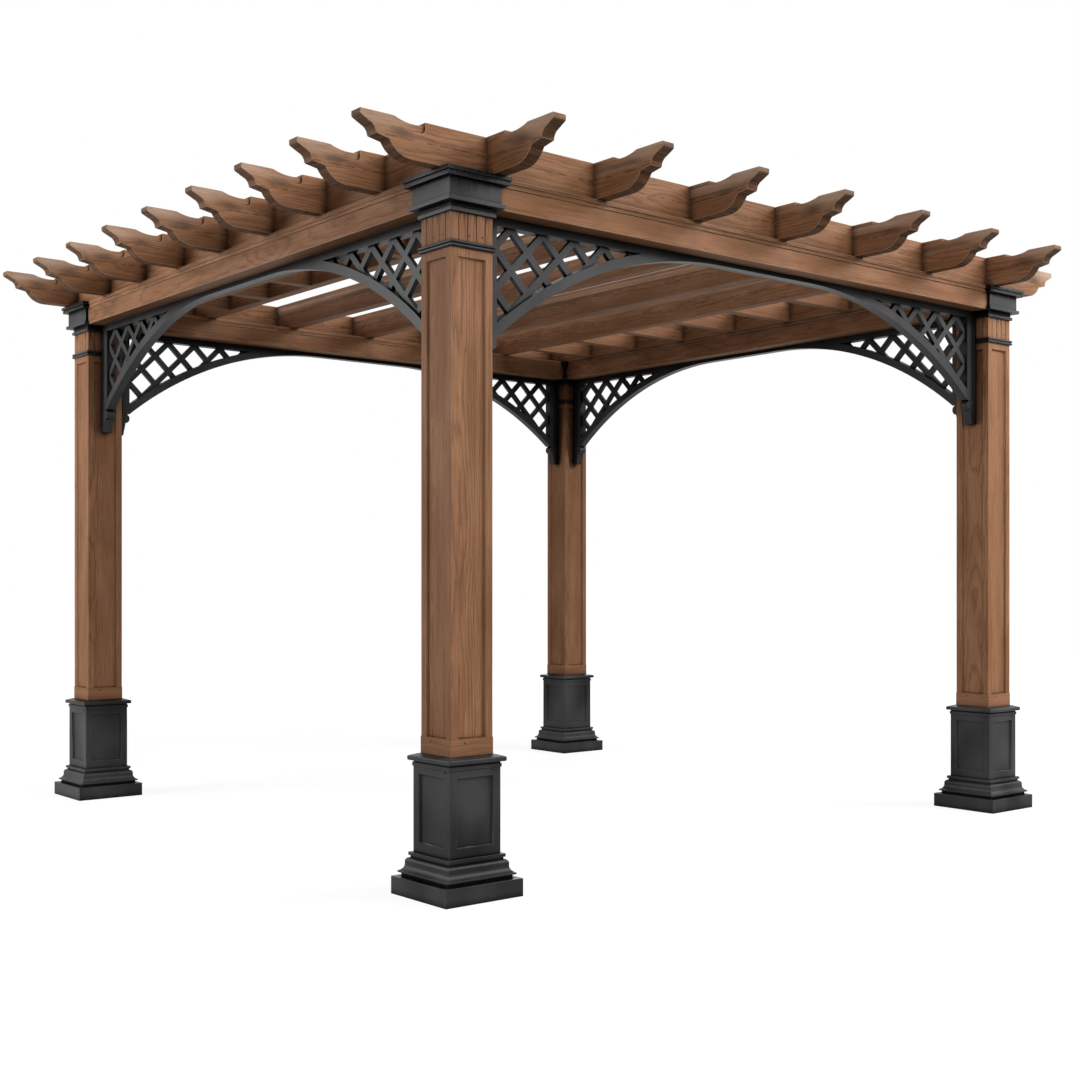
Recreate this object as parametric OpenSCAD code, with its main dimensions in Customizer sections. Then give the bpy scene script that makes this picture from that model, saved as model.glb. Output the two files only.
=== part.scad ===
// Square timber pergola: four panelled posts on moulded black pedestals, box beams butting
// into black capitals, pairs of lattice half arches, and a roof of scrolled boards.
// Origin on the ground at the centre of the four posts, +X along the front, +Z up, millimetres.

/* [Layout] */
// Distance between post centres along the front
post_span_x = 2920; // [2700:10:3600]
// Distance between post centres along the sides
post_span_y = 2880; // [2700:10:3600]
// Height of the underside of the beams above the ground
beam_under = 2206; // [2050:1:2600]
// Reach of the scrolled roof boards beyond the post lines
overhang = 420; // [380:5:600]

/* [Posts] */
// Width of the square post
post_w = 164; // [150:1:176]
// Depth of the recessed panels in the faces of posts and pedestals
panel_depth = 8; // [2:0.5:12]
// Width of the frame round the post panel
panel_frame = 28; // [20:1:45]
// Width of the sloping border inside the recessed panels
panel_border = 4; // [2:0.5:9]
// Height of the plain foot band above the pedestal
foot_band_h = 55; // [30:1:90]
// How far the foot band stands proud of the post
foot_band_out = 1.5; // [0.5:0.5:4]
// Height of the black band below the fluted neck
band_h = 22; // [16:1:30]
// How far the black bands stand proud of the post
band_out = 9; // [6:0.5:11]
// Distance from the underside of the beams down to the top of the black band
neck_drop = 118; // [90:1:160]
// Width of each flute in the neck of the post
flute_w = 3; // [2:0.5:6]

/* [Pedestals] */
// Width of the plinth block at the ground
plinth_w = 305; // [290:1:340]
// Height of the plinth block
plinth_h = 58; // [40:1:90]
// Width at the foot of the ogee moulding
ogee_w = 275; // [262:1:288]
// Height of the ogee moulding
ogee_h = 49; // [42:1:70]
// How far the hollow of the ogee sweeps in above its lip
ogee_sweep = 16; // [10:0.5:20]
// Width of the fillet ring above the ogee
ring_w = 225; // [222:1:240]
// Width of the panelled die
die_w = 201; // [195:1:210]
// Height of the panelled die
die_h = 278; // [200:1:400]
// Width of the rounded cap of the pedestal
cap_w = 230; // [222:1:250]
// Height of the rounded cap of the pedestal
cap_h = 16; // [11:1:24]
// Thickness of the plate that the post stands on
base_plate = 12; // [6:1:20]

/* [Capitals] */
// Width of the capital's box
box_w = 207; // [200:1:216]
// Width of the collar at the foot of the capital
collar_w = 224; // [218:1:240]
// Height of the collar
collar_h = 14; // [8:1:20]
// How far the crown stands out from the box
crown_out = 24.5; // [20:0.5:36]
// Thickness of the capital's lid over the post
lid_t = 16; // [8:1:24]
// Least thickness of the box's walls round the head of the post
box_wall = 20; // [12:0.5:21]

/* [Beams] */
// Width of the box beam
beam_w = 184; // [170:1:196]
// Height of the beam below its cap strips
beam_h = 74; // [60:1:110]
// Height of each of the two cap strips
strip_step_h = 14; // [8:1:18]
// How far each cap strip stands out from the one below
strip_step_out = 4; // [2:0.5:8]

/* [Arches] */
// Thickness of the arch frame
frame_t = 40; // [30:1:60]
// Thickness of the lattice bars
lattice_t = 18; // [10:1:26]
// Width of the lattice bars
bar_w = 24; // [14:1:34]
// Distance between lattice bars along the rail
bar_pitch = 138; // [100:1:180]
// Width of the leg against the post
leg_w = 66; // [50:1:80]
// Depth of the rail under the beam beside the lattice
rail_h = 30; // [22:1:40]
// Depth of the thin strip at mid-span
strip_h = 17; // [12:1:21]
// Width of the curved rib
rib_w = 35; // [24:1:45]
// Radius of the underside of the arch
arch_r = 1656; // [1500:1:1900]
// Distance from the post's face to where the arch runs level
arch_run = 1118; // [950:1:1180]
// Distance from the underside of the beams to the bottom of the corbel foot
corbel_drop = 498; // [480:1:640]

/* [Roof boards] */
// Thickness of the roof boards
board_t = 52; // [38:1:60]
// Depth of the roof boards
board_h = 125; // [110:1:160]
// Distance of the rims and side blocks outside the post lines
edge_out = 59; // [45:1:66]
// Distance of the outer rafters inside the post lines
rafter_inset = 80; // [60:1:88]
// Side clearance in the notched crossings
lap_gap = 0.2; // [0.1:0.1:0.5]

/* [Scrolled ends] */
// Height of the flat tip
nose_h = 13; // [8:1:18]
// Radius of the round below the tip
nose_r = 9; // [6:0.5:14]
// Length of the ramp between the round and the hollow
ramp_l = 38; // [28:1:44]
// Radius of the hollow behind the ramp
cove_r = 32; // [26:1:36]
// Drop of the slanting step under the hollow
fillet_h = 9; // [4:1:12]
// Length of the slanting step
fillet_l = 48; // [30:1:60]
// Radius of the belly that runs down to the underside
belly_r = 95; // [70:1:120]
// Distance from the tip to the start of the scoop in the top edge
scoop_start = 124; // [105:1:135]
// Length of the scoop up to its stop
scoop_l = 113; // [80:1:125]
// Radius of the scoop's floor
scoop_r = 200; // [180:1:260]
// Depth of the scoop at its lowest
scoop_h = 13; // [8:1:20]
// Depth of the relief in the sides of the boards along X, at its stop
relief_depth = 7; // [3:0.5:12]

/* [Hidden] */
WOOD = "#8f6647";
BLACK = "#37393a";
arc_fn = 96;
arch_fn = 720;
cut = 1;
seam_gap = 0.4;
rafter_count = 7;
lookout_count = 7;

// Pedestal levels
shadow_h = 12;
shadow_in = 9;
ogee_lip_h = 6;
ogee_lip_in = 1;
ogee_flat_h = 8;
ogee_shoulder_r = 13;
groove_h = 7;
groove_in = 5;
ring_h = 11;
neck_h = 12;
neck_out = 3;
throat_h = 6;
cap_edge_r = 4.5;
bevel_h = 7;
bevel_in = 22;
die_stile = 29;
die_rail_top = 24;
die_rail_bottom = 33;
ogee_z = plinth_h + shadow_h;
groove_z = ogee_z + ogee_h;
ring_z = groove_z + groove_h;
die_z = ring_z + ring_h;
neck_z = die_z + die_h;
cap_z = neck_z + neck_h + throat_h;
bevel_z = cap_z + cap_h;
pedestal_h = bevel_z + bevel_h;

// Post, band, capital and beam levels
post_face = post_w / 2;
collar_gap = 16;
under_fillet_h = 12;
neck_ring_out = 3;
crown_h = 2 * strip_step_h;
crown_groove_h = 2;
crown_groove_in = 9;
crown_step_in = 5;
crown_lip_h = strip_step_h - crown_groove_h / 2;
roof_z = beam_under + beam_h + crown_h;
post_top = roof_z - lid_t;
band_z = beam_under - neck_drop - band_h;
capital_z = beam_under - collar_gap - under_fillet_h;
crown_w = box_w + 2 * crown_out;
head_w = min(post_w, box_w - 2 * box_wall);
flute_depth = 3;
flute_count = 4;
neck_stile = 30;

// Arch, measured from the post's face and the underside of the beam
arch_center = [arch_run, -strip_h - arch_r];
rail_end = arch_run - sqrt(pow(arch_r, 2) - pow(arch_r - rail_h + strip_h, 2));
rib_foot = arch_center[1] + sqrt(pow(arch_r, 2) - pow(arch_run - leg_w, 2));
lattice_seat = 6;
leg_groove_w = 5;
leg_groove_depth = 3;
leg_groove_at = 28;
roll_r = 22;
corbel_in = 20;
corbel_taper = 12;

// Roof lines
rim_y = post_span_y / 2 + edge_out;
block_x = post_span_x / 2 + edge_out;
rafter_reach = post_span_x / 2 - rafter_inset;
tip_x = post_span_x / 2 + overhang;
tip_y = post_span_y / 2 + overhang;
lookout_pitch = 2 * rim_y / (lookout_count + 1);
rafter_pitch = 2 * rafter_reach / (rafter_count - 1);
ramp_turn = 27;
ramp_bite = cos(8);
ramp_out = ramp_bite * [-sin(ramp_turn), -cos(ramp_turn)];
ramp_top = [nose_r, board_h - nose_h] + nose_r * ramp_out;
ramp_foot = ramp_top + ramp_l * [cos(ramp_turn), -sin(ramp_turn)];
cove_center = ramp_foot + cove_r * ramp_out;
nose_l = cove_center[0] + cove_r;
cove_z = cove_center[1];
belly_start = nose_l + fillet_l;
belly_h = cove_z - fillet_h;
belly_l = sqrt(pow(belly_r, 2) - pow(belly_r - belly_h, 2));
scoop_stop = scoop_start + scoop_l;
scoop_reach = sqrt(pow(scoop_r, 2) - pow(scoop_r - scoop_h, 2));
relief_start = 100;
relief_h = 38;
relief_r = 16;

function rafter_x(i) = -rafter_reach + (i - 1) * rafter_pitch;
function lookout_y(j) = -rim_y + j * lookout_pitch;

// Corners of the plan: name, side along X, side along Y
CORNERS = [
    ["front_left", -1, -1],
    ["front_right", 1, -1],
    ["back_left", -1, 1],
    ["back_right", 1, 1],
];
// Sides of the plan: name, turn about Z from the front, span along it and across it, its two ends
SIDES = [
    ["front", 0, post_span_x, post_span_y, ["left", "right"]],
    ["right", 90, post_span_y, post_span_x, ["front", "back"]],
    ["back", 180, post_span_x, post_span_y, ["right", "left"]],
    ["left", 270, post_span_y, post_span_x, ["back", "front"]],
];
RIMS = [["front", -1], ["back", 1]];
FLANKS = [["left", -1], ["right", 1]];

// Places a piece at a corner post
module at_corner(c) {
    translate([c[1] * post_span_x / 2, c[2] * post_span_y / 2, 0]) children();
}

// Turns a piece made for the front side to its own side, with its line on the post centres
module at_side(s) {
    rotate(s[1]) translate([0, -s[3] / 2, 0]) children();
}

// Repeats a half outline to the left of the axis
module both_sides() {
    children();
    mirror([1, 0]) children();
}

// Square moulding mitred at its corners, from an outline with its axis upright
module mitred(w) {
    intersection() {
        rotate([90, 0, 0]) linear_extrude(w, center = true) children();
        rotate([90, 0, 90]) linear_extrude(w, center = true) children();
    }
}

// Square block standing on the level z
module block(w, z, h) {
    translate([-w / 2, -w / 2, z]) cube([w, w, h]);
}

// Half outline of the pedestal's ogee: a lip, a hollow that sweeps in above it and a round shoulder
module ogee_half() {
    body_w = ogee_w / 2 - ogee_lip_in - ogee_sweep;
    flat_z = ogee_h - ogee_shoulder_r - ogee_flat_h;
    sweep_h = flat_z - ogee_lip_h;
    sweep_r = (pow(ogee_sweep, 2) + pow(sweep_h, 2)) / (2 * ogee_sweep);
    square([ogee_w / 2, ogee_lip_h]);
    difference() {
        square([body_w + ogee_sweep, flat_z]);
        translate([body_w + sweep_r, flat_z]) circle(sweep_r, $fn = arc_fn);
    }
    square([body_w, ogee_h - ogee_shoulder_r]);
    square([body_w - ogee_shoulder_r, ogee_h]);
    translate([body_w - ogee_shoulder_r, ogee_h - ogee_shoulder_r])
        circle(ogee_shoulder_r, $fn = arc_fn);
}

module pedestal_half() {
    shoulder_w = ogee_w / 2 - ogee_lip_in - ogee_sweep - ogee_shoulder_r;
    cap_in = cap_w / 2 - cap_edge_r;
    square([plinth_w / 2, plinth_h]);
    translate([0, plinth_h]) square([ogee_w / 2 - shadow_in, shadow_h]);
    translate([0, ogee_z]) ogee_half();
    translate([0, groove_z]) square([min(shoulder_w, ring_w / 2 - groove_in), groove_h]);
    translate([0, ring_z]) square([ring_w / 2, ring_h]);
    translate([0, die_z]) square([die_w / 2, die_h]);
    translate([0, neck_z]) square([die_w / 2 + neck_out, neck_h]);
    translate([0, neck_z + neck_h]) square([die_w / 2, throat_h]);
    translate([0, cap_z]) {
        square([cap_in, cap_h]);
        translate([0, cap_edge_r]) square([cap_w / 2, cap_h - 2 * cap_edge_r]);
        for (z = [cap_edge_r, cap_h - cap_edge_r]) translate([cap_in, z]) circle(cap_edge_r, $fn = arc_fn);
        polygon([[0, cap_h], [cap_in, cap_h], [cap_in - bevel_in, cap_h + bevel_h], [0, cap_h + bevel_h]]);
    }
}

// Recessed panel with sloping borders, cut w wide and h high into a +X face at x, from the level z
module panel_cut(x, w, z, h) {
    over = panel_border * cut / panel_depth;
    intersection() {
        translate([0, 0, z - over]) linear_extrude(h + 2 * over) polygon([
            [x - panel_depth, panel_border - w / 2],
            [x + cut, -w / 2 - over],
            [x + cut, w / 2 + over],
            [x - panel_depth, w / 2 - panel_border],
        ]);
        rotate([90, 0, 0]) linear_extrude(w + 2 * over, center = true) polygon([
            [x - panel_depth, z + panel_border],
            [x + cut, z - over],
            [x + cut, z + h + over],
            [x - panel_depth, z + h - panel_border],
        ]);
    }
}

module pedestal(c) {
    panel_w = die_w - 2 * die_stile;
    panel_h = die_h - die_rail_top - die_rail_bottom;
    color(BLACK) at_corner(c) difference() {
        mitred(plinth_w + 2 * cut) both_sides() pedestal_half();
        block(post_w, base_plate, pedestal_h);
        for (a = [0:90:270]) rotate(a) panel_cut(die_w / 2, panel_w, die_z + die_rail_bottom, panel_h);
    }
}

// Recessed panel and flutes of one face of the post, cut into its +X face
module post_face_cuts() {
    panel_z = pedestal_h + foot_band_h;
    flute_run = post_w - 2 * neck_stile;
    panel_cut(post_face, post_w - 2 * panel_frame, panel_z, band_z - panel_frame - panel_z);
    for (i = [0:flute_count - 1])
        translate([
            post_face - flute_depth,
            -flute_run / 2 + i * flute_run / (flute_count - 1) - flute_w / 2,
            band_z + band_h
        ])
            cube([flute_depth + cut, flute_w, capital_z - band_z - band_h]);
}

// Core of the post from the level z up, with its head as wide as the capital's box allows
module post_core(z) {
    block(post_w, z, beam_under - z);
    block(head_w, beam_under - cut, post_top - beam_under + cut);
}

module post(c) {
    color(WOOD) at_corner(c) {
        difference() {
            post_core(base_plate);
            for (a = [0:90:270]) rotate(a) post_face_cuts();
        }
        difference() {
            block(post_w + 2 * foot_band_out, pedestal_h, foot_band_h);
            block(post_w - 2 * panel_depth, pedestal_h - cut, foot_band_h + 2 * cut);
        }
    }
}

// Double bead round the post
module band_half() {
    r = band_h / 4;
    square([post_face + band_out - r, band_h]);
    for (z = [r, 3 * r])
        translate([post_face + band_out - r, z]) circle(r, $fn = arc_fn);
}

module post_band(c) {
    color(BLACK) at_corner(c) translate([0, 0, band_z]) difference() {
        mitred(post_w + 4 * band_out) both_sides() band_half();
        block(post_w, -cut, band_h + 2 * cut);
    }
}

// Crown of the capital: a fascia and a lip with a groove between them
module crown_half() {
    out = box_w / 2 + crown_out;
    square([out - crown_step_in, crown_h - crown_lip_h - crown_groove_h]);
    square([out - crown_groove_in, crown_h]);
    translate([0, crown_h - crown_lip_h]) square([out, crown_lip_h]);
}

module capital_half() {
    square([post_face + band_out, under_fillet_h]);
    translate([0, under_fillet_h]) square([post_face + neck_ring_out, collar_gap]);
    translate([0, under_fillet_h + collar_gap]) {
        square([collar_w / 2, collar_h]);
        square([box_w / 2, beam_h]);
        translate([0, beam_h]) crown_half();
    }
}

module capital(c) {
    color(BLACK) at_corner(c) translate([0, 0, capital_z]) difference() {
        mitred(crown_w + 2 * cut) both_sides() capital_half();
        translate([0, 0, -capital_z]) post_core(capital_z - cut);
    }
}

// Box beam between two capitals, cut back round their collars
module beam(s) {
    l = s[2] - box_w;
    color(WOOD) at_side(s) difference() {
        translate([-l / 2, -beam_w / 2, beam_under]) cube([l, beam_w, beam_h]);
        for (e = [-1, 1])
            translate([e * s[2] / 2, 0, 0]) block(collar_w, beam_under - cut, collar_h + cut);
    }
}

// Stepped strips on top of a beam, the lower one between the fascias and the upper between the lips
module beam_cap(s) {
    color(WOOD) at_side(s)
        for (step = [1, 2]) {
            l = s[2] - crown_w + 2 * crown_step_in * (2 - step);
            translate([
                -l / 2,
                -beam_w / 2 - step * strip_step_out,
                beam_under + beam_h + (step - 1) * strip_step_h
            ])
                cube([l, beam_w + 2 * step * strip_step_out, strip_step_h]);
        }
}

// Curved rib as a ring of the arch's circle, widened by grow on its outer side
module arch_disc(grow) {
    translate(arch_center) circle(arch_r + grow, $fn = arch_fn);
}

// Leg, rail, rib, mid-span strip and corbel foot, in the plane of the arch
module arch_frame(half_span) {
    strip_end = half_span - post_face - seam_gap / 2;
    translate([0, rib_foot]) square([leg_w, -rib_foot]);
    translate([0, -rail_h]) square([rail_end, rail_h]);
    translate([rail_end, -strip_h]) square([strip_end - rail_end, strip_h]);
    intersection() {
        translate([0, rib_foot]) square([arch_run, -rib_foot]);
        difference() {
            arch_disc(rib_w);
            arch_disc(0);
        }
    }
    corbel_foot();
}

// Quarter-round roll and tapered block at the bottom of the leg
module corbel_foot() {
    block_w = leg_w - corbel_in;
    roll_z = rib_foot - 2 * roll_r;
    translate([0, roll_z]) square([leg_w - roll_r, 2 * roll_r]);
    translate([leg_w - roll_r, roll_z + roll_r]) circle(roll_r, $fn = arc_fn);
    polygon([
        [0, roll_z],
        [block_w, roll_z],
        [block_w - corbel_taper, -corbel_drop],
        [0, -corbel_drop],
    ]);
}

// Two families of bars between the leg, the rail and the rib
module lattice() {
    bar_l = 3 * corbel_drop;
    bar_count = ceil((rail_end + corbel_drop) / bar_pitch);
    intersection() {
        difference() {
            translate([leg_w - lattice_seat, rib_foot])
                square([rail_end, -rib_foot - rail_h + lattice_seat]);
            arch_disc(rib_w - lattice_seat);
        }
        for (i = [-bar_count:bar_count], turn = [-45, 45])
            translate([leg_w + (i + 0.5) * bar_pitch, -rail_h])
                rotate(turn) square([bar_l, bar_w], center = true);
    }
}

// Half arch springing from the post at the first or second end of a side
module arch(s, e) {
    color(BLACK) at_side(s) mirror([e, 0, 0])
        translate([post_face - s[2] / 2, 0, beam_under]) difference() {
            union() {
                rotate([90, 0, 0]) linear_extrude(frame_t, center = true) arch_frame(s[2] / 2);
                rotate([90, 0, 0]) linear_extrude(lattice_t, center = true) lattice();
            }
            for (face = [-1, 1])
                translate([leg_groove_at, face * frame_t / 2, (rib_foot - rail_h) / 2])
                    cube([leg_groove_w, 2 * leg_groove_depth, -rib_foot - rail_h], center = true);
            translate([-post_face, 0, -beam_under]) {
                block(post_w + 2 * band_out, band_z, band_h);
                block(post_w + 2 * band_out, capital_z, under_fillet_h);
                block(post_w + 2 * neck_ring_out, capital_z, beam_under - capital_z);
            }
        }
}

// Nose, ramp, hollow, slanting step and belly of one scrolled end, tip at the origin, board to +X
module scroll_half(l) {
    nose_z = board_h - nose_h;
    step_over = 1.25;
    translate([0, nose_z]) square([nose_l, nose_h]);
    intersection() {
        translate([0, nose_z - nose_r]) square([2 * nose_r, nose_r]);
        translate([nose_r, nose_z]) circle(nose_r, $fn = arc_fn);
    }
    difference() {
        union() {
            polygon([ramp_top, ramp_foot, [nose_l, board_h], [ramp_top[0], board_h]]);
            translate([ramp_foot[0], cove_z]) square([nose_l - ramp_foot[0] + cut, board_h - cove_z]);
        }
        translate(cove_center) circle(cove_r, $fn = arc_fn);
    }
    polygon([
        [nose_l, cove_z],
        [nose_l + step_over * fillet_l, cove_z - step_over * fillet_h],
        [l, cove_z - step_over * fillet_h],
        [l, board_h],
        [nose_l, board_h],
    ]);
    intersection() {
        translate([belly_start - fillet_l / 4, 0]) square([2 * belly_l, board_h]);
        translate([belly_start + belly_l, belly_r]) circle(belly_r, $fn = arc_fn);
    }
    translate([belly_start + belly_l, 0]) square([l - belly_start - belly_l, board_h]);
}

// Scrolled end with the scoop cut in its top edge, hollow up to an upright stop
module scrolled_end(l) {
    difference() {
        scroll_half(l);
        intersection() {
            translate([0, board_h - 2 * scoop_h]) square([scoop_stop, 4 * scoop_h]);
            translate([scoop_start + scoop_reach, board_h + scoop_r - scoop_h])
                circle(scoop_r, $fn = arch_fn);
        }
    }
}

// Board along X with both ends scrolled
module scrolled_board(half_l) {
    translate([0, 0, roof_z]) rotate([90, 0, 0]) linear_extrude(board_t, center = true)
        both_sides() translate([-half_l, 0]) scrolled_end(half_l);
}

// Shallow relief in both sides of a scrolled end along X: it deepens from the tip to the scoop's stop
module relief_cuts() {
    for (side = [0, 1]) mirror([0, side, 0]) intersection() {
        linear_extrude(roof_z + 2 * board_h) polygon([
            [relief_start, board_t / 2],
            [scoop_stop, board_t / 2 - relief_depth],
            [scoop_stop, board_t / 2 + cut],
            [relief_start, board_t / 2 + cut],
        ]);
        translate([0, 0, roof_z + board_h - relief_h]) rotate([90, 0, 0])
            linear_extrude(2 * board_t, center = true) {
                translate([0, relief_r]) square([scoop_stop, relief_h]);
                square([scoop_stop - relief_r, relief_h]);
                translate([scoop_stop - relief_r, relief_r]) circle(relief_r, $fn = arc_fn);
            }
    }
}

// Slot for a crossing board, in the lower or upper half of the depth
module lap_slot(upper) {
    slot = board_t + 2 * lap_gap;
    low = upper ? roof_z + board_h / 2 : roof_z - cut;
    translate([-slot / 2, -slot / 2, low]) cube([slot, slot, board_h / 2 + cut]);
}

module rafter(i) {
    color(WOOD) translate([rafter_x(i), 0, 0]) difference() {
        rotate(90) scrolled_board(tip_y);
        for (side = [-1, 1]) translate([0, side * rim_y, 0]) lap_slot(false);
        if (i == 1 || i == rafter_count)
            for (j = [1:lookout_count]) translate([0, lookout_y(j), 0]) lap_slot(true);
    }
}

module rim(r) {
    color(WOOD) translate([0, r[1] * rim_y, 0]) difference() {
        scrolled_board(tip_x);
        for (i = [1:rafter_count]) translate([rafter_x(i), 0, 0]) lap_slot(true);
        for (end = [0, 1]) mirror([end, 0, 0]) translate([-tip_x, 0, 0]) relief_cuts();
    }
}

// Scrolled boards that cross the outer rafter and end at the next one
module lookouts(f) {
    l = tip_x - rafter_reach + rafter_pitch - board_t / 2;
    color(WOOD) mirror([f[1] > 0 ? 1 : 0, 0, 0])
        for (j = [1:lookout_count])
            translate([0, lookout_y(j), 0]) difference() {
                translate([-tip_x, 0, roof_z]) rotate([90, 0, 0])
                    linear_extrude(board_t, center = true) scrolled_end(l);
                translate([-rafter_reach, 0, 0]) lap_slot(false);
                translate([-tip_x, 0, 0]) relief_cuts();
            }
}

// Blocks on the side beam between the rims and the lookouts
module side_blocks(f) {
    l = lookout_pitch - board_t;
    color(WOOD)
        for (j = [0:lookout_count])
            translate([f[1] * block_x - board_t / 2, lookout_y(j) + board_t / 2, roof_z])
                cube([board_t, l, board_h]);
}

for (c = CORNERS) {
    pedestal(c);
    post(c);
    post_band(c);
    capital(c);
}
for (s = SIDES) {
    beam(s);
    beam_cap(s);
    for (e = [0, 1])
        arch(s, e);
}
for (i = [1:rafter_count])
    rafter(i);
for (r = RIMS)
    rim(r);
for (f = FLANKS) {
    lookouts(f);
    side_blocks(f);
}
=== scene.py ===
"""Looks of the timber pergola: eased arrises, stained cedar, black coated metal and fixings."""

import math
import random

import bmesh
import bpy
from mathutils import Matrix, Vector

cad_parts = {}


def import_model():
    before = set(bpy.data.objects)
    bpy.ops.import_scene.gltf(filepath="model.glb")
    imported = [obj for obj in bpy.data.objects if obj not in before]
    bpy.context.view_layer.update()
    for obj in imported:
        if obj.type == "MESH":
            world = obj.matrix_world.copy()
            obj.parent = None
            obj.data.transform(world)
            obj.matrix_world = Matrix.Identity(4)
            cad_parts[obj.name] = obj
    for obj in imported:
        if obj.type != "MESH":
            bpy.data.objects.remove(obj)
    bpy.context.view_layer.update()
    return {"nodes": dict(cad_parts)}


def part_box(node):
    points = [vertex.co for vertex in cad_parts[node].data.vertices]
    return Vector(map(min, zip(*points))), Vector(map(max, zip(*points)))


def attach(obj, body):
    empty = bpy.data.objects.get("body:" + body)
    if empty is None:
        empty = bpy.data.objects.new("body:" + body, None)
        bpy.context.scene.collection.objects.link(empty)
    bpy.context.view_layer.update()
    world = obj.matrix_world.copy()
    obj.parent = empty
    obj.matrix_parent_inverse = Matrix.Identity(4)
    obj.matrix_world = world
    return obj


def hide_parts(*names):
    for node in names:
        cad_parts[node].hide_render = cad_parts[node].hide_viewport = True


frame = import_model()

MM = 0.001
NODES = frame["nodes"]
CORNERS = ("front_left", "front_right", "back_left", "back_right")
SIDES = ("front", "right", "back", "left")

# Roof boards with a scrolled tail, and which way the fibres of each timber node run
TAILED = {
    **{f"rafter_{i}": "Y" for i in range(1, 8)},
    **{f"rim_{s}": "X" for s in ("front", "back")},
    **{f"lookouts_{s}": "X" for s in ("left", "right")},
}
GRAIN_AXIS = {
    **TAILED,
    **{f"post_{c}": "Z" for c in CORNERS},
    **{f"beam_{s}": "X" if s in ("front", "back") else "Y" for s in SIDES},
    **{f"beam_cap_{s}": "X" if s in ("front", "back") else "Y" for s in SIDES},
    **{f"side_blocks_{s}": "Y" for s in ("left", "right")},
}
COATED = sorted(n for n in NODES if n not in GRAIN_AXIS)

# Eased edges: a planed board's arris, and a folded and coated metal edge
TIMBER_ARRIS = 2.4 * MM
METAL_ARRIS = 0.9 * MM
ARRIS_SEGMENTS = 2
WELD = 0.02 * MM
FLAT_ANGLE = math.radians(0.3)
ARRIS_ANGLE = math.radians(32)
SMOOTH_ANGLE = math.radians(38)


# Colours and nodes

def linear(hex_colour):
    """An sRGB hex colour as the linear colour that a shader takes."""
    parts = [int(hex_colour[i:i + 2], 16) / 255 for i in (1, 3, 5)]
    return (*(v / 12.92 if v <= 0.04045 else ((v + 0.055) / 1.055) ** 2.4 for v in parts), 1.0)


def add(tree, kind, inputs=None, stops=(), **settings):
    """The outputs of a new node. An input that is a socket is linked, any other is set as a value,
    and stops are the positions and greys of a colour ramp."""
    made = tree.nodes.new("ShaderNode" + kind)
    for name, value in settings.items():
        setattr(made, name, value)
    for key, value in (inputs or {}).items():
        if isinstance(value, bpy.types.NodeSocket):
            tree.links.new(value, made.inputs[key])
        else:
            made.inputs[key].default_value = value
    for place, (position, grey) in enumerate(stops):
        ramp = made.color_ramp.elements
        stop = ramp[place] if place < len(ramp) else ramp.new(position)
        stop.position, stop.color = position, (grey, grey, grey, 1.0)
    return made.outputs


# Settings that many nodes share, and the sockets of a Mix node between two colours
SMOOTH = {"interpolation_type": "SMOOTHSTEP"}
COLOURS = {"data_type": "RGBA"}
SHARE, UNDER, OVER, BLEND = 0, 6, 7, 2


def pattern(tree, place, sizes_mm, detail=2.0, roughness=0.5):
    """Noise whose features measure these millimetres along each axis."""
    repeats = tuple(1 / (size * MM) for size in sizes_mm)
    spaced = add(tree, "VectorMath", {0: place, 1: repeats}, operation="MULTIPLY")["Vector"]
    return add(tree, "TexNoise",
               {"Vector": spaced, "Scale": 1.0, "Detail": detail, "Roughness": roughness})


def new_material(name):
    """An empty material with its node tree and its output's surface socket."""
    material = bpy.data.materials.new(name)
    material.use_nodes = True
    material.node_tree.nodes.clear()
    surface = material.node_tree.nodes.new("ShaderNodeOutputMaterial").inputs["Surface"]
    return material, material.node_tree, surface


# Wear, stains and painted light and shade

def painted_tip_light(tree, colour, where, patchy):
    """Painted light: the upper edge of the tails near their tips is lightened in patches, as light
    from above and a sheen would light it.
    """
    tip, rise, _ = add(tree, "SeparateXYZ", {0: where})
    near = add(tree, "MapRange", {"Value": tip, "From Min": 0.03, "From Max": 0.27,
                                  "To Min": 1.0, "To Max": 0.0}, **SMOOTH)["Result"]
    high = add(tree, "MapRange", {"Value": rise, "From Min": -0.1, "From Max": 0.85},
               **SMOOTH)["Result"]
    top_lit = add(tree, "Math", {0: near, 1: high}, operation="MULTIPLY")["Value"]
    patch_strength = add(tree, "MapRange", {"Value": patchy, "From Min": 0.25, "From Max": 0.7,
                                   "To Min": 0.65, "To Max": 0.25})["Result"]
    tip_light = add(tree, "Math", {0: top_lit, 1: patch_strength}, operation="MULTIPLY")["Value"]
    # The painted light is a pale warm grey mixed over the wood
    return add(tree, "Mix", {SHARE: tip_light, UNDER: colour, OVER: linear("#c9b19d")},
               **COLOURS)[BLEND]


def painted_relief_shade(tree, colour, where, patchy):
    """Painted shade: a dark oval on the tails below the relief cut in their top, where that relief
    shades them.
    """
    middle = (0.15, 0.25, 0.0)  # metres from the tip, and height in the board
    narrow = (13.0, 2.2, 0.0)
    offset = add(tree, "VectorMath", {0: where, 1: middle}, operation="SUBTRACT")["Vector"]
    spread = add(tree, "VectorMath", {0: offset, 1: narrow}, operation="MULTIPLY")["Vector"]
    reach = add(tree, "VectorMath", {0: spread}, operation="LENGTH")["Value"]
    ragged = add(tree, "Math", {0: patchy, 1: 0.9, 2: reach}, operation="MULTIPLY_ADD")["Value"]
    # The oval of painted shade, ragged at its edge
    blotch = add(tree, "MapRange", {"Value": ragged, "From Min": 0.5, "From Max": 1.5,
                                   "To Min": 0.6, "To Max": 0.0}, **SMOOTH)["Result"]
    return add(tree, "Mix", {SHARE: blotch, UNDER: colour, OVER: linear("#35281f")},
               **COLOURS)[BLEND]


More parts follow.
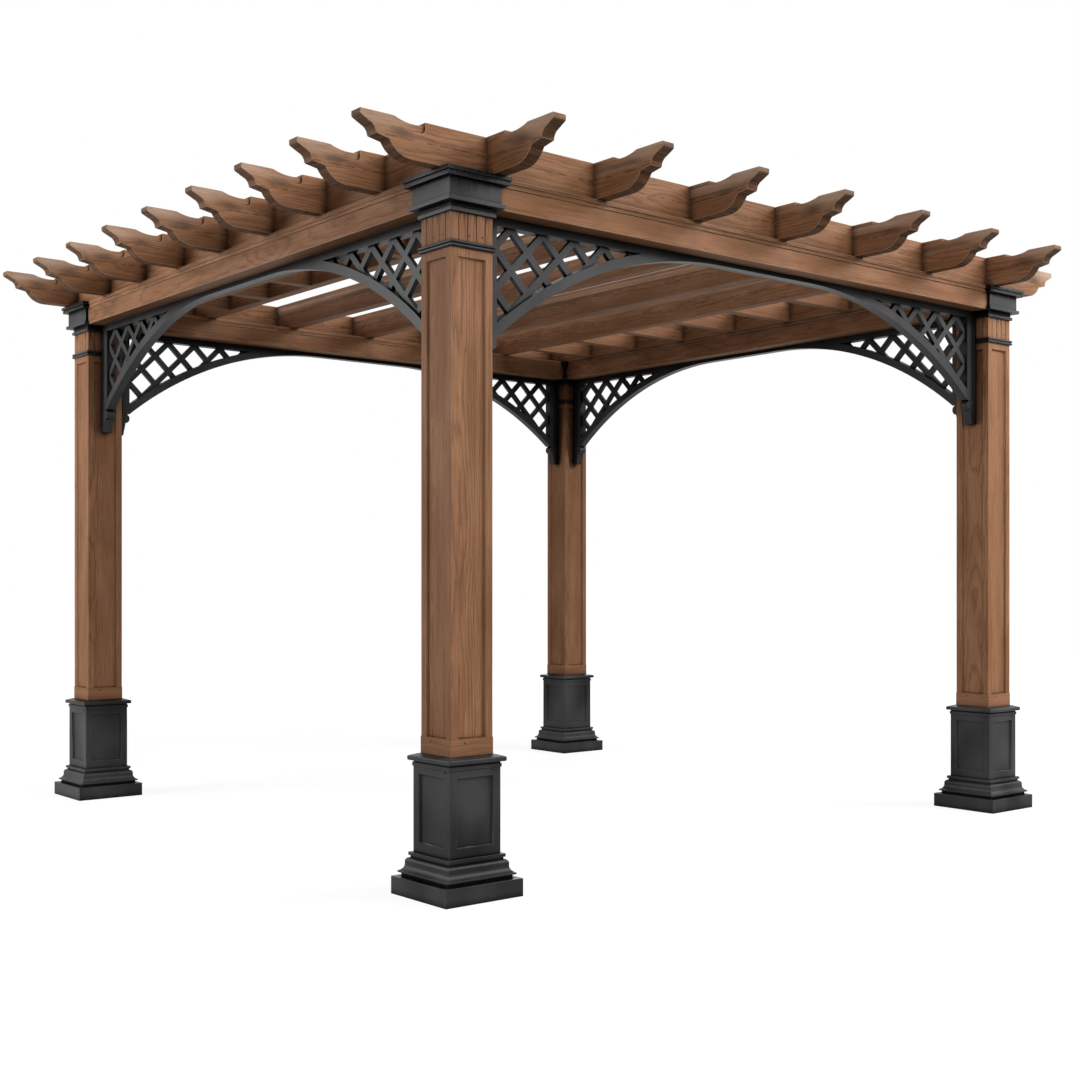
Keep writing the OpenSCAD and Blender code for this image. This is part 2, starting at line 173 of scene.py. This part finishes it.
def drying_check(tree, colour, where, log):
    """Drying opens a thin broken check along the middle of the tails."""
    rise = add(tree, "SeparateXYZ", {0: where})["Y"]
    drift = pattern(tree, log, (210, 400, 400), 2.0)["Fac"]
    line = add(tree, "Math", {0: drift, 1: 0.3, 2: rise}, operation="MULTIPLY_ADD")["Value"]
    aside = add(tree, "Math", {0: line, 1: 0.13}, operation="SUBTRACT")["Value"]
    away = add(tree, "Math", {0: aside}, operation="ABSOLUTE")["Value"]
    thin = add(tree, "MapRange", {"Value": away, "From Min": 0.012, "From Max": 0.04,
                                  "To Min": 1.0, "To Max": 0.0})["Result"]
    dash = pattern(tree, log, (34, 500, 500), 2.0)["Fac"]
    open_part = add(tree, "MapRange", {"Value": dash, "From Min": 0.44, "From Max": 0.56,
                                       "To Max": 0.75})["Result"]
    check = add(tree, "Math", {0: thin, 1: open_part}, operation="MULTIPLY")["Value"]
    return add(tree, "Mix", {SHARE: check, UNDER: colour, OVER: linear("#2c1c12")},
               **COLOURS)[BLEND]


# Dark runs under the capitals onto the necks of the posts, stains that rain brings down, and under
# the crowns onto the boxes of the capitals, where they are a painted shadow of the crown's overhang
# broken into runs: the heights in metres at which they end and are full, the height above which
# there are none, and the noise that breaks them up into runs
NECK_RUNS = {"stain": "#2b1c13", "heights": (2.09, 2.178), "top": 2.19,
             "sizes_mm": (9, 9, 260), "run_edges": (0.78, 0.92), "most": 0.7}
# For the crowns the colour is near black: painted shadow on the box, fullest just under the crown
CROWN_SHADOW_RUNS = {"stain": "#080808", "heights": (2.225, 2.29), "top": 2.4,
              "sizes_mm": (8, 8, 300), "run_edges": (0.7, 0.8), "most": 0.95}


def runs_and_painted_shade(tree, colour, stain, heights, top, sizes_mm, run_edges, most):
    """Dark runs down an upright face, longest and closest under what they come from."""
    place = add(tree, "TexCoord")["Object"]
    height = add(tree, "SeparateXYZ", {0: place})["Z"]
    below = add(tree, "MapRange", {"Value": height, "From Min": heights[0],
                                   "From Max": heights[1]})["Result"]
    runs = pattern(tree, place, sizes_mm, 2.0)["Fac"]
    run_mask = add(tree, "Math", {0: below, 1: 0.34, 2: runs}, operation="MULTIPLY_ADD")["Value"]
    share = add(tree, "MapRange", {"Value": run_mask, "From Min": run_edges[0], "From Max": run_edges[1],
                                   "To Max": most})["Result"]
    under_top = add(tree, "Math", {0: height, 1: top}, operation="LESS_THAN")["Value"]
    run = add(tree, "Math", {0: share, 1: under_top}, operation="MULTIPLY")["Value"]
    return add(tree, "Mix", {SHARE: run, UNDER: colour, OVER: linear(stain)}, **COLOURS)[BLEND]


def painted_corner_shade(tree, colour, corner_shade, reach_mm, most):
    """Painted shade where faces meet, in grooves and behind lips, darkest where the surroundings
    are
    least open: the shaded colour, and the share of painted shade."""
    # Ambient occlusion paints shade into corners, grooves and recesses
    clear = add(tree, "AmbientOcclusion", {"Distance": reach_mm * MM}, samples=8)["AO"]
    share = add(tree, "MapRange", {"Value": clear, "From Min": 0.35, "From Max": 0.9,
                                   "To Min": most, "To Max": 0.0})["Result"]
    corner_shaded = add(tree, "Mix", {SHARE: share, UNDER: colour, OVER: linear(corner_shade)}, **COLOURS)[BLEND]
    return corner_shaded, share


# Materials

def growth_rings(tree, log):
    """Dark late wood of the growth rings. The heart of the tree wanders along the board, so that
    rings cut lengthwise come out as straight lines and narrow pointed arches."""
    ring_mm = 6.0  # real rings are 2 to 4 mm apart, drawn wider so that they show
    most_wander = (0.0, 0.04, 0.04)
    drift = pattern(tree, log, (400, 240, 240), 1.5, 0.4)["Color"]
    centred = add(tree, "VectorMath", {0: drift, 1: (0.5, 0.5, 0.5)},
                  operation="SUBTRACT")["Vector"]
    wander = add(tree, "VectorMath", {0: centred, 1: most_wander}, operation="MULTIPLY")["Vector"]
    bent = add(tree, "VectorMath", {0: log, 1: wander}, operation="ADD")["Vector"]
    across = add(tree, "VectorMath", {0: bent, 1: (0.0, 1.0, 1.0)}, operation="MULTIPLY")["Vector"]
    radius = add(tree, "VectorMath", {0: across}, operation="LENGTH")["Value"]
    turns = add(tree, "Math", {0: radius, 1: ring_mm * MM}, operation="DIVIDE")["Value"]
    ragged = pattern(tree, log, (70, 9, 9), 3.0)["Fac"]
    uneven = add(tree, "Math", {0: ragged, 1: 1.1, 2: turns}, operation="MULTIPLY_ADD")["Value"]
    part = add(tree, "Math", {0: uneven}, operation="FRACT")["Value"]
    return add(tree, "ValToRGB", {"Fac": part},
               [(0.0, 0.0), (0.5, 0.15), (0.84, 1.0), (1.0, 0.0)])["Color"]


def planed_face(tree, log, ring, fibre):
    """Stained soft wood with darker rings, fibres and veins, each board in a tone of its own."""
    tone = add(tree, "Attribute", attribute_name="tone")["Fac"]
    vein = pattern(tree, log, (640, 10, 10), 2.0)["Fac"]
    cloud = pattern(tree, log, (330, 75, 75), 3.0)["Fac"]
    soak = add(tree, "MapRange", {"Value": cloud, "From Min": 0.3, "From Max": 0.7})["Result"]
    soft = add(tree, "Mix", {SHARE: soak, UNDER: linear("#a27658"), OVER: linear("#865d40")},
               **COLOURS)[BLEND]
    late = add(tree, "MapRange", {"Value": ring, "To Max": 0.5})["Result"]
    ringed = add(tree, "Mix", {SHARE: late, UNDER: soft, OVER: linear("#563822")},
                 **COLOURS)[BLEND]
    thread = add(tree, "MapRange", {"Value": fibre, "From Min": 0.42, "From Max": 0.78,
                                    "To Max": 0.6})["Result"]
    threaded = add(tree, "Mix", {SHARE: thread, UNDER: ringed, OVER: linear("#60412b")},
                   **COLOURS)[BLEND]
    streak = add(tree, "MapRange", {"Value": vein, "From Min": 0.54, "From Max": 0.74,
                                    "To Max": 0.32}, **SMOOTH)["Result"]
    streaked = add(tree, "Mix", {SHARE: streak, UNDER: threaded, OVER: linear("#432a18")},
                   **COLOURS)[BLEND]
    shade = add(tree, "MapRange", {"Value": tone, "From Min": -1.0, "From Max": 1.0,
                                   "To Min": 0.86, "To Max": 1.12})["Result"]
    return add(tree, "HueSaturation", {"Color": streaked, "Value": shade})["Color"]


def sawn_face(tree, log):
    """End grain of sawn outlines and cut ends, which takes up the stain in dark and paler bands."""
    band = pattern(tree, log, (14, 90, 14), 3.0)["Fac"]
    soaked = add(tree, "MapRange", {"Value": band, "From Min": 0.35, "From Max": 0.62})["Result"]
    return add(tree, "Mix", {SHARE: soaked, UNDER: linear("#6e4c34"), OVER: linear("#2a190f")},
               **COLOURS)[BLEND]


def stained_cedar():
    """Planed western cedar under a brown oil stain, which sits darker in the late wood and in cut
    ends. The sealed face has a low sheen. The tails carry painted light near their tips, painted
    shade under their relief and a drying check, and their sawn outlines and undersides are darker
    as end grain and as painted shade. Painted shade darkens the corners, and the arrises are paler,
    partly worn and partly a painted highlight."""
    material, tree, surface = new_material("stained_cedar")
    place = add(tree, "Attribute", attribute_name="grain")["Vector"]
    board = add(tree, "Attribute", attribute_name="board")["Vector"]
    where = add(tree, "Attribute", attribute_name="tail")["Vector"]
    sawn_and_shaded = add(tree, "Attribute", attribute_name="sawn_and_shaded")["Fac"]
    arris = add(tree, "Attribute", attribute_name="arris")["Fac"]
    log = add(tree, "VectorMath", {0: place, 1: board}, operation="ADD")["Vector"]
    ring = growth_rings(tree, log)
    # Real fibres are under a millimetre wide, drawn wider so that they show
    fibre = pattern(tree, log, (110, 3.2, 3.2), 4.0, 0.62)["Fac"]
    patchy = pattern(tree, log, (140, 26, 26), 3.0)["Fac"]

    planed = planed_face(tree, log, ring, fibre)
    # Painted light on the tails near their tips
    pale = painted_tip_light(tree, planed, where, patchy)
    # Painted shade below the relief of the tails
    relief_shaded = painted_relief_shade(tree, pale, where, patchy)
    weathered = runs_and_painted_shade(tree, drying_check(tree, relief_shaded, where, log), **NECK_RUNS)
    # Sawn end grain takes the stain darker; on the tails' undersides this darkening is painted
    # shade
    cut = add(tree, "MapRange", {"Value": sawn_and_shaded, "To Max": 0.8})["Result"]
    sawn_shaded_wood = add(tree, "Mix", {SHARE: cut, UNDER: weathered, OVER: sawn_face(tree, log)},
                **COLOURS)[BLEND]
    # Painted shade in the corners, grooves and recesses of the wood
    corner_shaded, _ = painted_corner_shade(tree, sawn_shaded_wood, "#22140b", 48, 0.9)
    # The eased arrises are paler: partly wear, partly a painted highlight along the edges
    pale_edge = add(tree, "MapRange", {"Value": arris, "To Max": 0.45})["Result"]
    edges_worn_and_lit = add(tree, "Mix", {SHARE: pale_edge, UNDER: corner_shaded, OVER: linear("#b8977b")}, **COLOURS)[BLEND]

    sheen = add(tree, "MapRange", {"Value": fibre, "To Min": 0.46, "To Max": 0.66})["Result"]
    relief = add(tree, "Math", {0: ring, 1: -0.6, 2: fibre}, operation="MULTIPLY_ADD")["Value"]
    raised = add(tree, "Bump", {"Height": relief, "Strength": 0.35, "Distance": 0.8 * MM})["Normal"]
    wood = add(tree, "BsdfPrincipled",
               {"Base Color": edges_worn_and_lit, "Roughness": sheen, "IOR": 1.5, "Specular IOR Level": 0.08,
                "Normal": raised})
    tree.links.new(wood["BSDF"], surface)
    return material


# Where in the noise the painted sheen patches of the black coat are taken from, in metres
SHEEN_PATCH_PLACE = (0.52, 0.29, 0.61)


def black_coated_metal(name, deep, patch_grey, shade_reach_mm):
    """Aluminium under a baked satin black powder coat: a faint orange peel breaks up the
    reflections, broad soft patches of painted sheen and shade make the colour uneven and the
    roughness with them, and painted shade darkens the corners and takes out their shine."""
    material, tree, surface = new_material(name)
    place = add(tree, "TexCoord")["Object"]
    arris = add(tree, "Attribute", attribute_name="arris")["Fac"]
    # The peel of a real coat is about 1 mm wide, drawn wider so that it shows
    peel = pattern(tree, place, (4, 4, 4))["Fac"]
    moved = add(tree, "VectorMath", {0: place, 1: SHEEN_PATCH_PLACE}, operation="ADD")["Vector"]
    sheen_patches = pattern(tree, moved, (210, 210, 330), 1.5)["Fac"]

    # Broad soft patches between a deep and a paler grey paint sheen and shade onto the coat; the
    # roughness follows the same patches
    soft = add(tree, "MapRange", {"Value": sheen_patches, "From Min": 0.25, "From Max": 0.75},
               **SMOOTH)["Result"]
    coat = add(tree, "Mix", {SHARE: soft, UNDER: linear(deep), OVER: linear(patch_grey)},
               **COLOURS)[BLEND]
    # Painted shadow under the crowns of the capitals, broken into dark runs
    crown_shaded = runs_and_painted_shade(tree, coat, **CROWN_SHADOW_RUNS)
    # Painted shade in the corners, grooves and recesses of the coat
    corner_shaded, corner_shade = painted_corner_shade(tree, crown_shaded, "#040404", shade_reach_mm, 1.0)
    # Painted highlight: the eased edges of the coat are lightened to a mid grey
    pale_edge = add(tree, "MapRange", {"Value": arris, "To Max": 0.6})["Result"]
    edge_highlighted = add(tree, "Mix", {SHARE: pale_edge, UNDER: corner_shaded, OVER: linear("#4a4b4b")},
                 **COLOURS)[BLEND]

    sheen = add(tree, "MapRange", {"Value": sheen_patches, "To Min": 0.34, "To Max": 0.48})["Result"]
    # The painted corner shade also takes the reflections out of the corners
    shine = add(tree, "MapRange", {"Value": corner_shade, "To Min": 0.16, "To Max": 0.0})["Result"]
    raised = add(tree, "Bump", {"Height": peel, "Strength": 0.12, "Distance": 0.5 * MM})["Normal"]
    metal = add(tree, "BsdfPrincipled",
                {"Base Color": edge_highlighted, "Roughness": sheen, "IOR": 1.5, "Specular IOR Level": shine,
                 "Normal": raised})
    tree.links.new(metal["BSDF"], surface)
    return material


def blued_steel():
    """Nails and screws of blued steel, gone dull and a little brown in the weather."""
    material, tree, surface = new_material("blued_steel")
    place = add(tree, "TexCoord")["Object"]
    blotch = pattern(tree, place, (2.5, 2.5, 2.5), 3.0)["Fac"]
    rust = add(tree, "MapRange", {"Value": blotch, "From Min": 0.5, "From Max": 0.7,
                                  "To Max": 0.5})["Result"]
    skin = add(tree, "Mix", {SHARE: rust, UNDER: linear("#2a2a2c"), OVER: linear("#3b2a20")},
               **COLOURS)[BLEND]
    sheen = add(tree, "MapRange", {"Value": blotch, "To Min": 0.35, "To Max": 0.65})["Result"]
    raised = add(tree, "Bump", {"Height": blotch, "Strength": 0.2, "Distance": 0.2 * MM})["Normal"]
    steel = add(tree, "BsdfPrincipled",
                {"Base Color": skin, "Metallic": 0.8, "Roughness": sheen, "Normal": raised})
    tree.links.new(steel["BSDF"], surface)
    return material


# Meshes

def eased(node, arris):
    """A node's mesh with its seams welded, its flat facets joined and its outer edges eased."""
    shape = bmesh.new()
    shape.from_mesh(NODES[node].data)
    mark = shape.faces.layers.float.new("arris")
    bmesh.ops.remove_doubles(shape, verts=shape.verts, dist=WELD)
    bmesh.ops.dissolve_limit(shape, angle_limit=FLAT_ANGLE, verts=shape.verts, edges=shape.edges)
    edges = [e for e in shape.edges
             if e.is_manifold and e.is_convex and e.calc_face_angle() > ARRIS_ANGLE]
    made = bmesh.ops.bevel(shape, geom=edges, offset=arris, offset_type="OFFSET", affect="EDGES",
                           segments=ARRIS_SEGMENTS, profile=0.5, clamp_overlap=True)
    for face in made["faces"]:
        face[mark] = 1.0
    return shape


def islands(shape):
    """The separate solids of a mesh, each as a list of its vertices."""
    shape.verts.ensure_lookup_table()
    seen, found = set(), []
    for start in shape.verts:
        if start in seen:
            continue
        seen.add(start)
        group, queue = [], [start]
        while queue:
            vert = queue.pop()
            group.append(vert)
            for edge in vert.link_edges:
                other = edge.other_vert(vert)
                if other not in seen:
                    seen.add(other)
                    queue.append(other)
        found.append(group)
    return found


# The length of a scrolled tail, and a place far from any tail, in metres and heights in the board
TAIL_LENGTH = 380 * MM
NO_TAIL = Vector((9.0, 9.0, 0.0))
# The foot bands of the posts are mitred trim, so their grain runs level up to this height
FOOT_BAND_TOP = 511 * MM
# Axes along, across and up a board whose fibres run this way
BOARD_AXES = {"X": (0, 1, 2), "Y": (1, 0, 2), "Z": (2, 0, 1)}


def grain_fields(shape, axis, tailed, seed):
    """Writes on each corner where it lies in its board, on each board its own place in the log, and
    on tailed boards the distance from the scrolled tip with the height in the board, from -1
    at the foot to 1. Cut ends, and the sawn outlines and undersides of the tails, are marked on
    their faces to be darkened: end grain that takes up more stain, with painted shade on the faces
    that look down."""
    draw = random.Random(seed)
    along, across, _ = BOARD_AXES[axis]
    grain = shape.loops.layers.float_vector.new("grain")
    board = shape.loops.layers.float_vector.new("board")
    tail = shape.loops.layers.float_vector.new("tail")
    tone = shape.faces.layers.float.new("tone")
    sawn_and_shaded = shape.faces.layers.float.new("sawn_and_shaded")
    tip = max(abs(v.co[along]) for v in shape.verts)
    for group in islands(shape):
        low = Vector(min(v.co[i] for v in group) for i in range(3))
        high = Vector(max(v.co[i] for v in group) for i in range(3))
        middle = (low + high) / 2
        # Metres along the log, and off its heart
        heart = Vector((draw.uniform(0, 40), draw.choice((-1, 1)) * draw.uniform(0.05, 0.11),
                        draw.uniform(-0.03, 0.03)))
        shade = draw.uniform(-1, 1)
        for face in {f for v in group for f in v.link_faces}:
            normal, centre = face.normal, face.calc_center_median()
            face[tone] = shade
            # From nothing where a face turns 15 degrees to the board's end, to all at 49
            face[sawn_and_shaded] = min(1.0, max(0.0, (abs(normal[along]) - 0.25) / 0.5))
            on_tail = tailed and tip - abs(centre[along]) < TAIL_LENGTH
            # The sawn outlines and flat undersides of the tails are marked whole: darker as end
            # grain, and as painted shade on these downward faces
            if on_tail and abs(normal[across]) < 0.5 and normal.z < 0.5:
                face[sawn_and_shaded] = 1.0
            lie = BOARD_AXES[axis]
            if axis == "Z" and centre.z < FOOT_BAND_TOP:
                lie = BOARD_AXES["X" if abs(normal.y) > abs(normal.x) else "Y"]
            for corner in face.loops:
                at = corner.vert.co
                local = at - middle
                corner[grain] = Vector(local[i] for i in lie)
                corner[board] = heart
                rise = 2 * local.z / (high.z - low.z)
                corner[tail] = Vector((tip - abs(at[along]), rise, 0.0)) if tailed else NO_TAIL


def new_piece(name, shape, material, node=None):
    """A piece of the object from a finished mesh, standing for a node where one is given."""
    mesh = bpy.data.meshes.new(name)
    shape.to_mesh(mesh)
    shape.free()
    mesh.materials.append(material)
    mesh.polygons.foreach_set("use_smooth", [True] * len(mesh.polygons))
    mesh.set_sharp_from_angle(angle=SMOOTH_ANGLE)
    piece = bpy.data.objects.new(name, mesh)
    bpy.context.scene.collection.objects.link(piece)
    flat = piece.modifiers.new("flat_faces", "WEIGHTED_NORMAL")
    flat.keep_sharp = True
    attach(piece, "root")
    if node:
        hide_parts(node)


def lathe(shape, profile, place, way, sides=14):
    """Adds a turned head at a place, its axis along way, from radius and height pairs that run
    from the rim to the middle."""
    turn = Matrix.Translation(place) @ way.to_track_quat("Z", "Y").to_matrix().to_4x4()
    angles = [2 * math.pi * s / sides for s in range(sides)]
    rings = [[shape.verts.new(turn @ Vector((r * math.cos(a), r * math.sin(a), h)))
              for a in angles] for r, h in profile]
    for lower, upper in zip(rings, rings[1:]):
        for s in range(sides):
            t = (s + 1) % sides
            shape.faces.new((lower[s], lower[t], upper[t], upper[s]))
    shape.faces.new(rings[-1])
    shape.faces.new(reversed(rings[0]))


# The object

def timber(cedar):
    """Every board, beam and post with eased arrises and its own length of log."""
    for seed, node in enumerate(sorted(GRAIN_AXIS)):
        shape = eased(node, TIMBER_ARRIS)
        grain_fields(shape, GRAIN_AXIS[node], node in TAILED, seed)
        new_piece("timber_" + node, shape, cedar, node)


def coated_parts(casting, strip):
    """Pedestals as heavy castings, and bands, capitals and arches as lighter strip, all with
    coated edges."""
    for node in COATED:
        coating = casting if node.startswith("pedestal") else strip
        new_piece("coated_" + node, eased(node, METAL_ARRIS), coating, node)


# Turned profiles of the fixings, as radius and height pairs in millimetres
NAIL = ((3.2, -0.5), (3.2, 0.3), (2.4, 0.9), (1.0, 1.2))
SCREW = ((4.2, -0.5), (4.2, 0.8), (3.4, 1.8), (1.9, 2.2), (1.7, 0.9))
# Fixings on each face of a post and its pedestal: profile, and millimetres off the post's axis,
# sideways and up
FIXINGS = (
    (NAIL, 82.0, -11.0, 2107.0),
    (NAIL, 82.0, 42.0, 2109.0),
    (NAIL, 83.5, -29.0, 498.0),
    (SCREW, 100.5, 74.0, 409.0),
)


def fixings(steel):
    """Nails in the necks and foot bands of the posts, and screws in the frames of the pedestals'
    dies."""
    shape = bmesh.new()
    for corner in CORNERS:
        low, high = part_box("post_" + corner)
        axis = (Vector(low) + Vector(high)) / 2
        for quarter in range(4):
            turn = Matrix.Rotation(quarter * math.pi / 2, 3, "Z")
            way = turn @ Vector((0.0, -1.0, 0.0))
            for profile, out, aside, up in FIXINGS:
                at = turn @ Vector((aside, -out, 0.0)) * MM
                place = Vector((axis.x + at.x, axis.y + at.y, up * MM))
                lathe(shape, [(r * MM, h * MM) for r, h in profile], place, way)
    new_piece("fixings", shape, steel)


# The stage

# The photo's view: its size in pixels, and the camera that was fitted to it
PHOTO_SIZE = 1080
CAMERA_PLACE = Vector((-4.2475, -5.2575, 1.0104))
CAMERA_TURN = math.radians(-39.389)
FOCAL_PIXELS = 1464.0
HORIZON_PIXEL = 581.3


def camera():
    """The photo's view: level, with the horizon below the middle of the picture."""
    data = bpy.data.cameras.new("camera")
    data.sensor_width = 36.0
    data.lens = FOCAL_PIXELS / PHOTO_SIZE * data.sensor_width
    data.shift_y = (HORIZON_PIXEL - PHOTO_SIZE / 2) / PHOTO_SIZE
    view = bpy.data.objects.new("camera", data)
    view.location = CAMERA_PLACE
    view.rotation_euler = (math.pi / 2, 0.0, CAMERA_TURN)
    bpy.context.scene.collection.objects.link(view)
    bpy.context.scene.camera = view


WHITE = (1.0, 1.0, 1.0, 1.0)
# The floor's size, the metres from the middle over which it fades to white, its brightness within
# them, and the grey with which it throws light back
FLOOR_WIDTH = 120.0
FLOOR_FADE = (2.4, 7.0)
FLOOR_NEAR = 0.86
FLOOR_BOUNCE = "#747474"
SKY_HORIZON = 0.02
SKY_ZENITH = 0.07
LAMP_AIM = Vector((0.0, 0.0, 1.3))
# Soft boxes: place, edge length and power
LAMPS = {
    "left_box": ((-5.2, 2.2, 2.4), 2.2, 170.0),
    "left_back_box": ((-6.0, 5.0, 6.0), 4.0, 80.0),
    "front_high_box": ((0.6, -5.8, 8.0), 4.0, 220.0),
    "front_box": ((3.0, -7.0, 4.0), 4.0, 100.0),
    "front_right_box": ((6.0, -6.0, 6.0), 4.0, 690.0),
    "camera_box": ((-5.0, -7.0, 3.6), 3.0, 225.0),
    "back_box": ((7.0, 7.0, 5.0), 5.0, 320.0),
}


def background_seen(tree):
    """One where the camera, a reflection or glass meets the surroundings, else nought."""
    path = add(tree, "LightPath")
    mirror = add(tree, "Math", {0: path["Is Glossy Ray"], 1: path["Is Transmission Ray"]},
                 operation="MAXIMUM")["Value"]
    return add(tree, "Math", {0: path["Is Camera Ray"], 1: mirror}, operation="MAXIMUM")["Value"]


def floor():
    """A wide pale floor that keeps the soft shadow near the object and fades to plain white around
    it."""
    material, tree, surface = new_material("pale_floor")
    place = add(tree, "TexCoord")["Object"]
    away = add(tree, "VectorMath", {0: place}, operation="LENGTH")["Value"]
    matt = add(tree, "BsdfDiffuse", {"Color": linear(FLOOR_BOUNCE)})["BSDF"]
    lift = add(tree, "MapRange", {"Value": away, "From Min": FLOOR_FADE[0],
                                  "From Max": FLOOR_FADE[1], "To Min": FLOOR_NEAR,
                                  "To Max": 1.0}, **SMOOTH)["Result"]
    seen = add(tree, "Math", {0: background_seen(tree), 1: lift}, operation="MULTIPLY")["Value"]
    glow = add(tree, "Emission", {"Color": WHITE, "Strength": seen})["Emission"]
    both = add(tree, "AddShader", {0: matt, 1: glow})["Shader"]
    tree.links.new(both, surface)
    bpy.ops.mesh.primitive_plane_add(size=FLOOR_WIDTH, location=(0.0, 0.0, 0.0))
    ground = bpy.context.object
    ground.name = "floor"
    ground.data.materials.append(material)


def world():
    """A soft ceiling, brighter overhead, that is plain white to the camera and in reflections."""
    sky = bpy.data.worlds.new("studio")
    sky.use_nodes = True
    tree = sky.node_tree
    tree.nodes.clear()
    way = add(tree, "TexCoord")["Generated"]
    height = add(tree, "SeparateXYZ", {0: way})["Z"]
    ceiling = add(tree, "MapRange", {"Value": height, "To Min": SKY_HORIZON,
                                     "To Max": SKY_ZENITH})["Result"]
    strength = add(tree, "Mix", {"Factor": background_seen(tree), "A": ceiling, "B": 1.0},
                   data_type="FLOAT")["Result"]
    light = add(tree, "Background", {"Color": WHITE, "Strength": strength})["Background"]
    tree.links.new(light, tree.nodes.new("ShaderNodeOutputWorld").inputs["Surface"])
    bpy.context.scene.world = sky


def lamp(name, place, size, watts):
    """A square soft box that points at the middle of the object."""
    data = bpy.data.lights.new(name, "AREA")
    data.shape = "SQUARE"
    data.size = size
    data.energy = watts
    box = bpy.data.objects.new(name, data)
    box.location = place
    box.rotation_euler = (LAMP_AIM - Vector(place)).to_track_quat("-Z", "Y").to_euler()
    box.visible_camera = False
    bpy.context.scene.collection.objects.link(box)


def stage():
    """Camera, floor, sky and soft boxes."""
    bpy.context.scene.view_settings.view_transform = "Standard"
    camera()
    floor()
    world()
    for name, (place, size, watts) in LAMPS.items():
        lamp(name, place, size, watts)


timber(stained_cedar())
coated_parts(black_coated_metal("black_coated_casting", "#060606", "#3c3c3c", 36),
             black_coated_metal("black_coated_strip", "#0c0c0c", "#333333", 80))
fixings(blued_steel())
stage()
